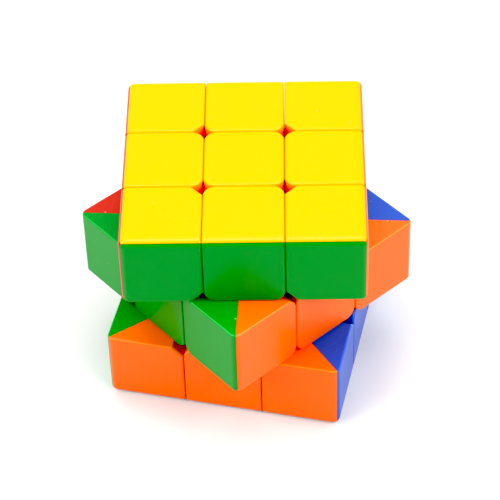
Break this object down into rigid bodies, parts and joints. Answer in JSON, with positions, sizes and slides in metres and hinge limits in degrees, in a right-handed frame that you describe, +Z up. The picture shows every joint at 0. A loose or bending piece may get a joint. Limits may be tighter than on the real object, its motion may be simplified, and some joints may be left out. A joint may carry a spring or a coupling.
{
  "type": "twisty puzzle cube",
  "caption": "Three-layer twisty puzzle cube with solid-coloured shells; its layers are partly turned about the vertical axis and rotate freely.",
  "frame": {"origin": "centre of the base, on the surface that the cube stands on", "axes": "+Z up, the axis that the layers turn about; +X and +Y are square to the sides of the top layer: orange faces +X and green faces -Y there"},
  "size_m": [0.0778, 0.0778, 0.056],
  "materials": {
    "yellow_plastic": "satin-gloss moulded ABS, coloured through",
    "white_plastic": "satin-gloss moulded ABS, coloured through",
    "green_plastic": "satin-gloss moulded ABS, coloured through",
    "blue_plastic": "satin-gloss moulded ABS, coloured through",
    "orange_plastic": "satin-gloss moulded ABS, coloured through",
    "red_plastic": "satin-gloss moulded ABS, coloured through",
    "base_nylon": "natural white nylon",
    "core_nylon": "natural white nylon",
    "screw_steel": "zinc-plated steel",
    "spring_steel": "bright spring steel"
  },
  "bodies": {
    "middle_layer": {"center_blue_cap": "blue_plastic", "center_green_cap": "green_plastic", "center_orange_cap": "orange_plastic", "center_red_cap": "red_plastic", "center_springs": "spring_steel", "core": "core_nylon", "core_screws_and_washers": "screw_steel", "edge_blue_orange_blue_shell": "blue_plastic", "edge_blue_orange_orange_shell": "orange_plastic", "edge_blue_red_blue_shell": "blue_plastic", "edge_blue_red_red_shell": "red_plastic", "edge_green_orange_green_shell": "green_plastic", "edge_green_orange_orange_shell": "orange_plastic", "edge_green_red_green_shell": "green_plastic", "edge_green_red_red_shell": "red_plastic", "side_center_bases": "base_nylon"},
    "top_layer": {"center_yellow_cap": "yellow_plastic", "corner_yellow_blue_orange_blue_shell": "blue_plastic", "corner_yellow_blue_orange_orange_shell": "orange_plastic", "corner_yellow_blue_orange_yellow_shell": "yellow_plastic", "corner_yellow_blue_red_blue_shell": "blue_plastic", "corner_yellow_blue_red_red_shell": "red_plastic", "corner_yellow_blue_red_yellow_shell": "yellow_plastic", "corner_yellow_green_orange_green_shell": "green_plastic", "corner_yellow_green_orange_orange_shell": "orange_plastic", "corner_yellow_green_orange_yellow_shell": "yellow_plastic", "corner_yellow_green_red_green_shell": "green_plastic", "corner_yellow_green_red_red_shell": "red_plastic", "corner_yellow_green_red_yellow_shell": "yellow_plastic", "edge_yellow_blue_blue_shell": "blue_plastic", "edge_yellow_blue_yellow_shell": "yellow_plastic", "edge_yellow_green_green_shell": "green_plastic", "edge_yellow_green_yellow_shell": "yellow_plastic", "edge_yellow_orange_orange_shell": "orange_plastic", "edge_yellow_orange_yellow_shell": "yellow_plastic", "edge_yellow_red_red_shell": "red_plastic", "edge_yellow_red_yellow_shell": "yellow_plastic", "top_center_base": "base_nylon"},
    "bottom_layer": {"bottom_center_base": "base_nylon", "center_white_cap": "white_plastic", "corner_white_blue_orange_blue_shell": "blue_plastic", "corner_white_blue_orange_orange_shell": "orange_plastic", "corner_white_blue_orange_white_shell": "white_plastic", "corner_white_blue_red_blue_shell": "blue_plastic", "corner_white_blue_red_red_shell": "red_plastic", "corner_white_blue_red_white_shell": "white_plastic", "corner_white_green_orange_green_shell": "green_plastic", "corner_white_green_orange_orange_shell": "orange_plastic", "corner_white_green_orange_white_shell": "white_plastic", "corner_white_green_red_green_shell": "green_plastic", "corner_white_green_red_red_shell": "red_plastic", "corner_white_green_red_white_shell": "white_plastic", "edge_white_blue_blue_shell": "blue_plastic", "edge_white_blue_white_shell": "white_plastic", "edge_white_green_green_shell": "green_plastic", "edge_white_green_white_shell": "white_plastic", "edge_white_orange_orange_shell": "orange_plastic", "edge_white_orange_white_shell": "white_plastic", "edge_white_red_red_shell": "red_plastic", "edge_white_red_white_shell": "white_plastic"}
  },
  "joints": [
    {"name": "top_layer_turn", "type": "hinge", "parent": "middle_layer", "child": "top_layer", "pos_m": [0, 0, 0.028], "axis": [0, 0, 1], "continuous": true},
    {"name": "bottom_layer_turn", "type": "hinge", "parent": "middle_layer", "child": "bottom_layer", "pos_m": [0, 0, 0.028], "axis": [0, 0, -1], "continuous": true}
  ]
}
